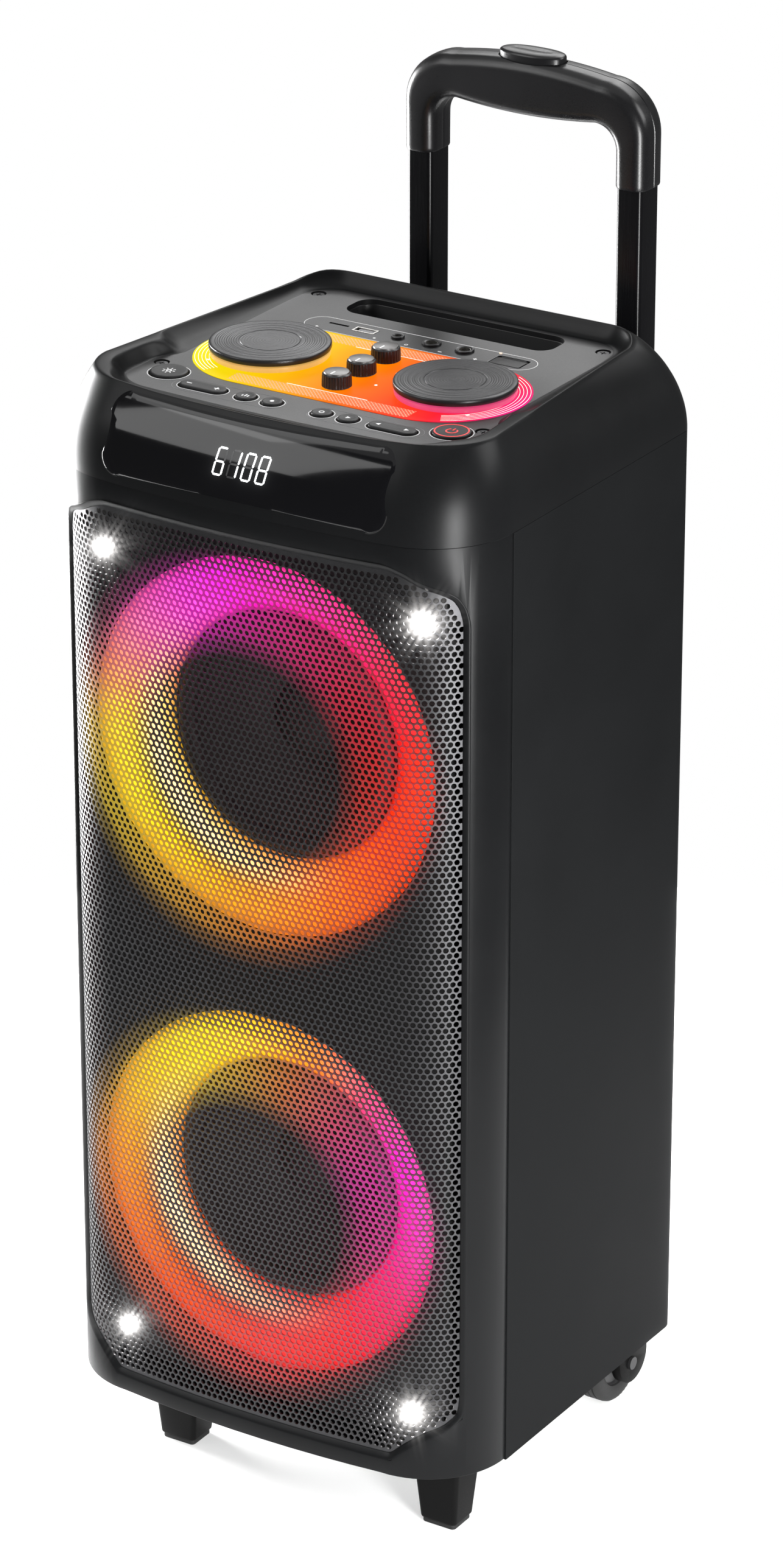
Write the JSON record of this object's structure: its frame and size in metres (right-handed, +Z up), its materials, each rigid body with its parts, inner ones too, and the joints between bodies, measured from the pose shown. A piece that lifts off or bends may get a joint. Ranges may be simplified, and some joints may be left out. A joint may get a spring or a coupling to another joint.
{
  "type": "party speaker",
  "caption": "Tall wheeled party loudspeaker with perforated front, glowing driver rings, top control deck, tablet slot and telescoping trolley handle.",
  "frame": {"origin": "centre of the overall box, on the floor", "axes": "+Z up, front grille faces -Y, +X to the right seen from the front"},
  "size_m": [0.28, 0.3232, 0.8105],
  "materials": {
    "baffle_board": "blackened fibreboard",
    "basket_steel": "matt powder coat",
    "battery_wrap": "shrink film",
    "button_rubber": "matt",
    "case_plastic": "fine satin moulded texture",
    "circuit_board": "solder resist",
    "cone_black": "matt pressed fibre",
    "foot_plastic": "satin",
    "glow_plate": "frosted light guide, lit",
    "grille_steel": "satin powder coat",
    "grip_plastic": "satin",
    "inner_black": "matt",
    "jog_cap": "fine concentric turned lines",
    "jog_glow": "clear tinted, lit",
    "knob_metal": "spun top, fluted side",
    "lens_black": "polished, smoke tinted",
    "light_ring_lower": "frosted diffuser, lit",
    "light_ring_upper": "frosted diffuser, lit",
    "magnet_ferrite": "ground",
    "pad_rubber": "matt",
    "panel_plastic": "fine matt moulded texture",
    "screw_steel": "blackened",
    "side_plastic": "fine matt moulded texture",
    "socket_metal": "plated",
    "strobe_lamp": "clear lamp, lit",
    "surround_rubber": "matt",
    "tube_steel": "satin paint",
    "wheel_rubber": "matt tread"
  },
  "bodies": {
    "cabinet": {"amp_board": "circuit_board", "audio_jacks": "socket_metal", "back_panel": "side_plastic", "baffle": "baffle_board", "bass_port": "inner_black", "battery_pack": "battery_wrap", "cabinet_shell": "side_plastic", "case_screws": "screw_steel", "control_board": "circuit_board", "control_panel": "panel_plastic", "dc_socket": "inner_black", "display_lens": "lens_black", "display_module": "circuit_board", "fascia": "inner_black", "foot_pads": "pad_rubber", "front_feet": "foot_plastic", "front_frame": "case_plastic", "glow_plate": "glow_plate", "grille": "grille_steel", "guide_tubes": "tube_steel", "handle_collars": "grip_plastic", "handle_housing": "side_plastic", "jog_bases": "jog_glow", "light_ring_lower": "light_ring_lower", "light_ring_upper": "light_ring_upper", "media_sockets": "socket_metal", "potentiometers": "circuit_board", "ring_led_boards": "circuit_board", "strobe_lamps": "strobe_lamp", "surround_lower": "surround_rubber", "surround_upper": "surround_rubber", "tablet_pocket": "panel_plastic", "top_housing": "case_plastic", "wheel_axles": "screw_steel", "wheel_brackets": "foot_plastic", "woofer_baskets": "basket_steel", "woofer_magnets": "magnet_ferrite"},
    "handle": {"handle_legs": "tube_steel", "handle_grip": "grip_plastic"},
    "release": {"release_button": "grip_plastic", "latch_rods": "tube_steel"},
    "jog_left": {"jog_disc_left": "jog_cap"},
    "jog_right": {"jog_disc_right": "jog_cap"},
    "knob_front_body": {"knob_front": "knob_metal"},
    "knob_middle_body": {"knob_middle": "knob_metal"},
    "knob_rear_body": {"knob_rear": "knob_metal"},
    "led_key": {"led_button": "button_rubber"},
    "power_key": {"power_button": "button_rubber"},
    "eq_key": {"eq_button": "button_rubber"},
    "rec_key": {"rec_button": "button_rubber"},
    "mode_key": {"mode_button": "button_rubber"},
    "scan_key": {"scan_button": "button_rubber"},
    "rocker_left_body": {"rocker_left": "button_rubber"},
    "rocker_right_body": {"rocker_right": "button_rubber"},
    "dc_flap": {"dc_cover": "button_rubber"},
    "left_wheel": {"wheel_left": "wheel_rubber"},
    "right_wheel": {"wheel_right": "wheel_rubber"},
    "upper_cone": {"cone_upper": "cone_black"},
    "lower_cone": {"cone_lower": "cone_black"}
  },
  "joints": [
    {"name": "handle_slide", "type": "slide", "parent": "cabinet", "child": "handle", "axis": [0, 0, 1], "range_m": [-0.115, 0.28]},
    {"name": "release_press", "type": "slide", "parent": "handle", "child": "release", "axis": [0, 0, -1], "range_m": [0, 0.005], "stiffness_N_per_m": 800, "springref_m": -0.01},
    {"name": "jog_left_spin", "type": "hinge", "parent": "cabinet", "child": "jog_left", "pos_m": [-0.0603, -0.0354, 0.677], "axis": [0, 0, 1], "continuous": true},
    {"name": "jog_right_spin", "type": "hinge", "parent": "cabinet", "child": "jog_right", "pos_m": [0.0603, -0.0354, 0.677], "axis": [0, 0, 1], "continuous": true},
    {"name": "knob_front_turn", "type": "hinge", "parent": "cabinet", "child": "knob_front_body", "pos_m": [0, -0.061, 0.676], "axis": [0, 0, -1], "range_deg": [-150, 150]},
    {"name": "knob_middle_turn", "type": "hinge", "parent": "cabinet", "child": "knob_middle_body", "pos_m": [0, -0.036, 0.676], "axis": [0, 0, -1], "range_deg": [-150, 150]},
    {"name": "knob_rear_turn", "type": "hinge", "parent": "cabinet", "child": "knob_rear_body", "pos_m": [0, -0.011, 0.676], "axis": [0, 0, -1], "range_deg": [-150, 150]},
    {"name": "led_press", "type": "slide", "parent": "cabinet", "child": "led_key", "axis": [0, 0, -1], "range_m": [0, 0.0009], "stiffness_N_per_m": 300, "springref_m": -0.0015},
    {"name": "power_press", "type": "slide", "parent": "cabinet", "child": "power_key", "axis": [0, 0, -1], "range_m": [0, 0.0009], "stiffness_N_per_m": 300, "springref_m": -0.0015},
    {"name": "eq_press", "type": "slide", "parent": "cabinet", "child": "eq_key", "axis": [0, 0, -1], "range_m": [0, 0.0009], "stiffness_N_per_m": 300, "springref_m": -0.0015},
    {"name": "rec_press", "type": "slide", "parent": "cabinet", "child": "rec_key", "axis": [0, 0, -1], "range_m": [0, 0.0009], "stiffness_N_per_m": 300, "springref_m": -0.0015},
    {"name": "mode_press", "type": "slide", "parent": "cabinet", "child": "mode_key", "axis": [0, 0, -1], "range_m": [0, 0.0009], "stiffness_N_per_m": 300, "springref_m": -0.0015},
    {"name": "scan_press", "type": "slide", "parent": "cabinet", "child": "scan_key", "axis": [0, 0, -1], "range_m": [0, 0.0009], "stiffness_N_per_m": 300, "springref_m": -0.0015},
    {"name": "rocker_left_tilt", "type": "hinge", "parent": "cabinet", "child": "rocker_left_body", "pos_m": [-0.061, -0.101, 0.6682], "axis": [0, 1, 0], "range_deg": [-3, 3], "stiffness_Nm_per_rad": 0.5},
    {"name": "rocker_right_tilt", "type": "hinge", "parent": "cabinet", "child": "rocker_right_body", "pos_m": [0.061, -0.101, 0.6682], "axis": [0, 1, 0], "range_deg": [-3, 3], "stiffness_Nm_per_rad": 0.5},
    {"name": "dc_flap_hinge", "type": "hinge", "parent": "cabinet", "child": "dc_flap", "pos_m": [0.0585, 0.0296, 0.6705], "axis": [-1, 0, 0], "range_deg": [0, 110]},
    {"name": "left_wheel_spin", "type": "hinge", "parent": "cabinet", "child": "left_wheel", "pos_m": [-0.097, 0.085, 0.027], "axis": [1, 0, 0], "continuous": true},
    {"name": "right_wheel_spin", "type": "hinge", "parent": "cabinet", "child": "right_wheel", "pos_m": [0.097, 0.085, 0.027], "axis": [1, 0, 0], "continuous": true},
    {"name": "upper_cone_stroke", "type": "slide", "parent": "cabinet", "child": "upper_cone", "axis": [0, -1, 0], "range_m": [-0.004, 0.004], "stiffness_N_per_m": 1500, "deforming": ["surround_upper"]},
    {"name": "lower_cone_stroke", "type": "slide", "parent": "cabinet", "child": "lower_cone", "axis": [0, -1, 0], "range_m": [-0.004, 0.004], "stiffness_N_per_m": 1500, "deforming": ["surround_lower"]}
  ]
}
